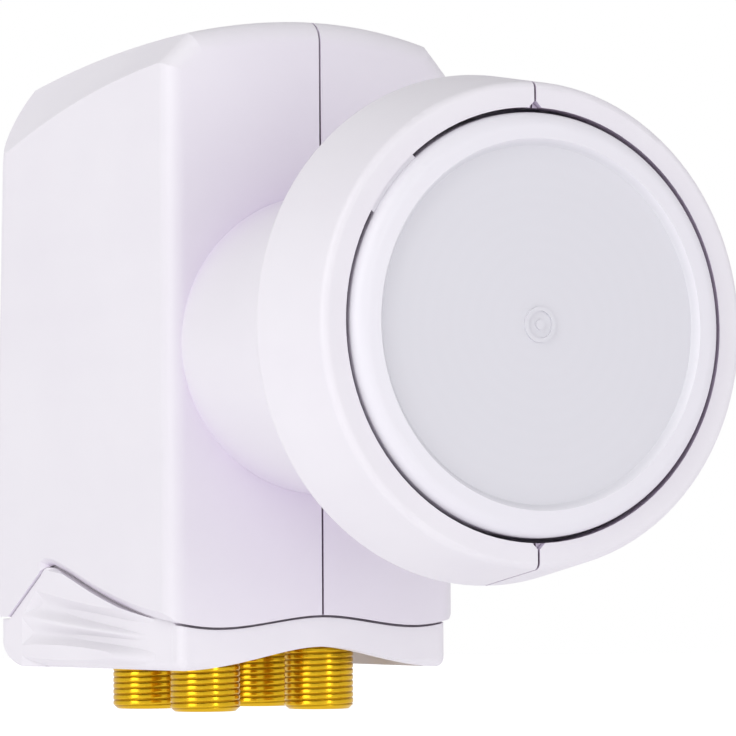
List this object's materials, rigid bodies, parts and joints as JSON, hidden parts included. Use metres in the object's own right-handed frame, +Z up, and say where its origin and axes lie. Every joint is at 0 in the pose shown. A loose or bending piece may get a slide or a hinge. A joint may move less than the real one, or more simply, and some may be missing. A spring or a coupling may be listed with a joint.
{
  "type": "satellite lnb",
  "caption": "White moulded satellite LNB with a round capped feed cup on a clamp neck, a tall rounded housing, gold threaded sockets and a sliding weather shield.",
  "frame": {"origin": "middle of the clamp neck, on the horn axis", "axes": "+Y along the horn axis from the feed cup to the back of the housing, the dish lies towards -Y; +Z up, sockets point down to -Z; +X to the right as seen from the dish"},
  "size_m": [0.0642, 0.1127, 0.0925],
  "materials": {
    "housing_plastic": "fine satin moulding",
    "shield_plastic": "fine satin moulding",
    "cap_plastic": "smooth satin, thin disc slightly greyer than the rim",
    "seal_rubber": "matte black",
    "cast_aluminium": "raw die casting",
    "screw_steel": "zinc plated",
    "board_laminate": "green solder mask",
    "tinned_steel": "tin plated",
    "chip_epoxy": "black moulded package",
    "gold_plate": "gold plated, bright",
    "socket_insulator": "white insulator",
    "contact_brass": "plated"
  },
  "bodies": {
    "housing": {"left_shell": "housing_plastic", "right_shell": "housing_plastic", "feed_cap": "cap_plastic", "feed_cap_o_ring": "seal_rubber", "feedhorn_casting": "cast_aluminium", "connector_plate": "cast_aluminium", "plate_gasket": "seal_rubber", "plate_screws": "screw_steel", "main_pcb": "board_laminate", "pcb_screws": "screw_steel", "partition_shield": "tinned_steel", "vertical_probe": "contact_brass", "horizontal_probe": "contact_brass", "converter_chip": "chip_epoxy", "switch_chip": "chip_epoxy", "voltage_regulator": "chip_epoxy", "crystal": "tinned_steel", "f_connector_1": "gold_plate", "f_connector_2": "gold_plate", "f_connector_3": "gold_plate", "f_connector_4": "gold_plate", "connector_insulator_1": "socket_insulator", "connector_insulator_2": "socket_insulator", "connector_insulator_3": "socket_insulator", "connector_insulator_4": "socket_insulator", "centre_contact_1": "contact_brass", "centre_contact_2": "contact_brass", "centre_contact_3": "contact_brass", "centre_contact_4": "contact_brass"},
    "shield": {"weather_shield": "shield_plastic"}
  },
  "joints": [
    {"name": "shield_slide", "type": "slide", "parent": "housing", "child": "shield", "axis": [0, 0, -1], "range_m": [0, 0.02]}
  ]
}
